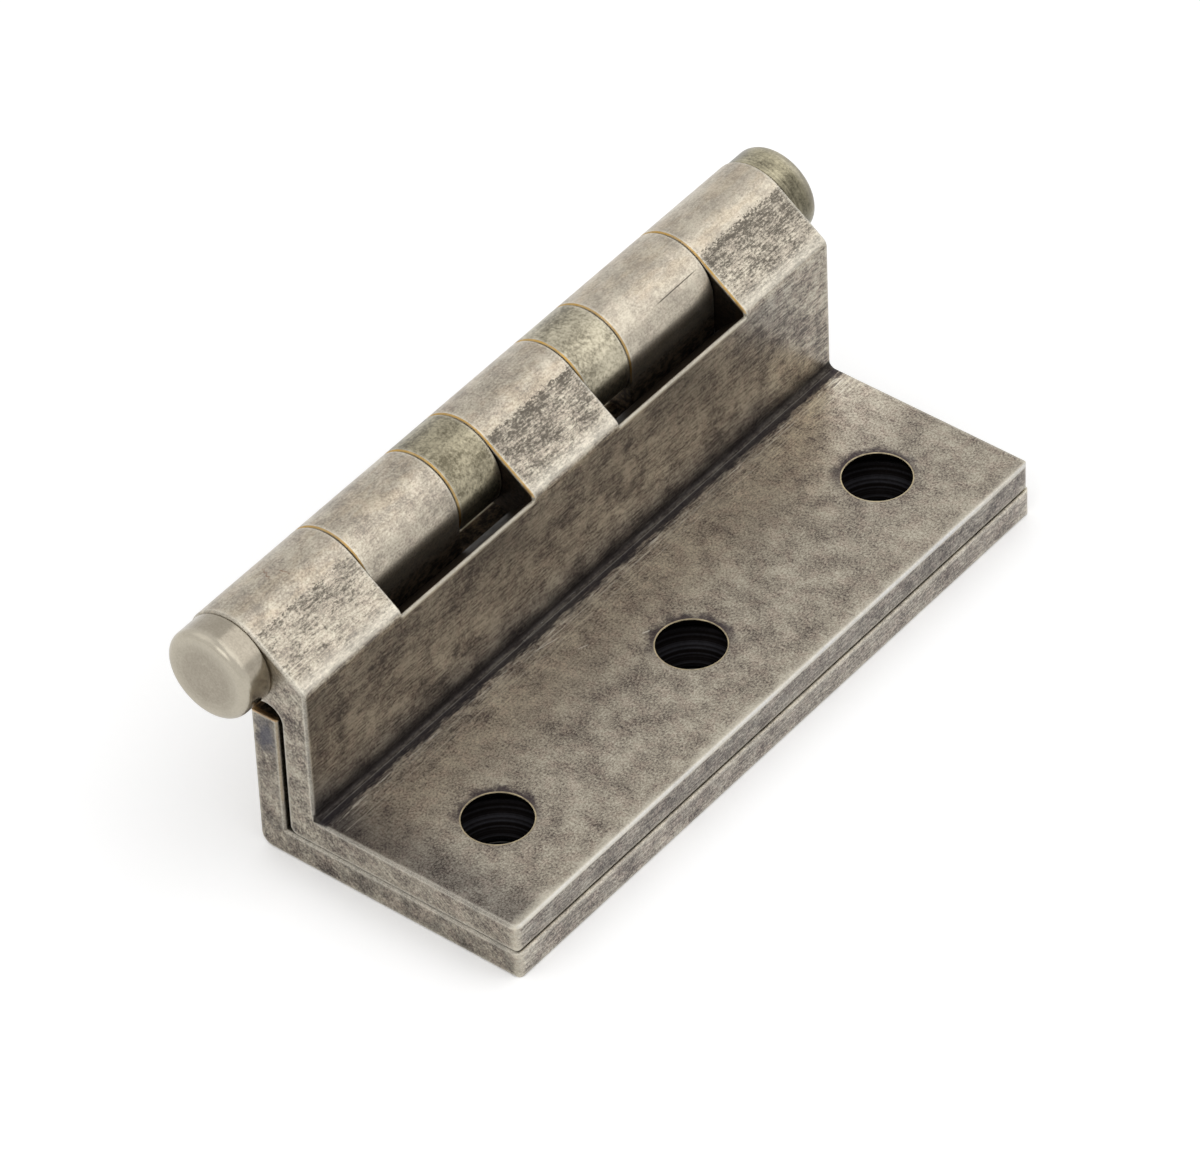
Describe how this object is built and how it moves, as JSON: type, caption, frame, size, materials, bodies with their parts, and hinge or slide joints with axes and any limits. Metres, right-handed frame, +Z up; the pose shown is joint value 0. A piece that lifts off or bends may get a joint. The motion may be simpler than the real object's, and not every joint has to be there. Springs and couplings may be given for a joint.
{
  "type": "stormproof casement hinge",
  "caption": "Closed cranked stormproof casement hinge in aged pewter finish, with nested leaves, interleaved knuckles and bushes on a pin, countersunk screw holes and button caps.",
  "frame": {"origin": "middle screw hole of the lower leaf, on the leaf's outer face that meets the timber", "axes": "+X away from the barrel towards the leaves' free edges, +Y along the pin, +Z up through the closed leaves, with the hinge lying on its lower leaf"},
  "size_m": [0.0307, 0.0698, 0.0222],
  "materials": {
    "aged_pewter": "solid brass with a mottled aged pewter plating, worn bright on its edges",
    "plain_steel": "plain turned steel",
    "dark_bronze": "bearing bronze, dulled grey green",
    "satin_nickel": "brass with a satin nickel plating",
    "olive_bronze": "brass, aged olive brown"
  },
  "bodies": {
    "lower": {"lower_leaf": "aged_pewter"},
    "upper": {"upper_leaf": "aged_pewter", "hinge_pin": "plain_steel", "near_cap": "satin_nickel", "far_cap": "olive_bronze"},
    "near_bush": {"near_bush": "dark_bronze"},
    "far_bush": {"far_bush": "dark_bronze"}
  },
  "joints": [
    {"name": "leaf_swing", "type": "hinge", "parent": "lower", "child": "upper", "pos_m": [-0.01795, 0, 0.01815], "axis": [0, -1, 0], "range_deg": [0, 262]},
    {"name": "near_bush_turn", "type": "hinge", "parent": "upper", "child": "near_bush", "pos_m": [-0.01795, -0.0075, 0.01815], "axis": [0, -1, 0], "continuous": true},
    {"name": "far_bush_turn", "type": "hinge", "parent": "upper", "child": "far_bush", "pos_m": [-0.01795, 0.0085, 0.01815], "axis": [0, -1, 0], "continuous": true}
  ]
}
